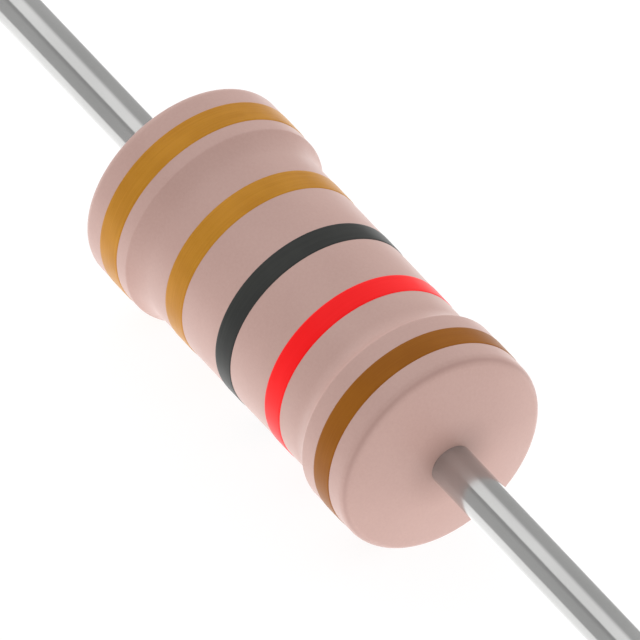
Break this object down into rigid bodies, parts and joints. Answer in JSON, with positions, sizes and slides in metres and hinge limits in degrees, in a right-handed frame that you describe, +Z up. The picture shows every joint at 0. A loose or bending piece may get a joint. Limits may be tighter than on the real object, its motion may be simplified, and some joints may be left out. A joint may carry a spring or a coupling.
{
  "type": "axial resistor",
  "caption": "Axial-lead film resistor with a pink dog-bone coated body, painted colour bands and straight tinned leads.",
  "frame": {"origin": "middle of the body on the lead axis, which is the centre of the whole part", "axes": "+X along the leads towards the end whose band is read first, +Z up; the part is round about X"},
  "size_m": [0.0646, 0.004, 0.0041],
  "materials": {
    "coating": "satin dusty-pink flameproof lacquer",
    "tinned_wire": "bright tinned drawn wire",
    "cap_metal": "plated drawn sheet",
    "ceramic": "matt fired ceramic",
    "film": "dark metal-oxide film",
    "paint_brown": "semi-gloss band paint",
    "paint_red": "semi-gloss band paint",
    "paint_black": "semi-gloss band paint",
    "paint_gold": "ochre-gold band paint"
  },
  "bodies": {
    "root": {"ceramic_core": "ceramic", "resistive_film": "film", "end_cap_left": "cap_metal", "end_cap_right": "cap_metal", "lead_left": "tinned_wire", "lead_right": "tinned_wire", "coating": "coating", "first_band_brown": "paint_brown", "second_band_red": "paint_red", "third_band_black": "paint_black", "multiplier_band_gold": "paint_gold", "tolerance_band_gold": "paint_gold"}
  },
  "joints": []
}
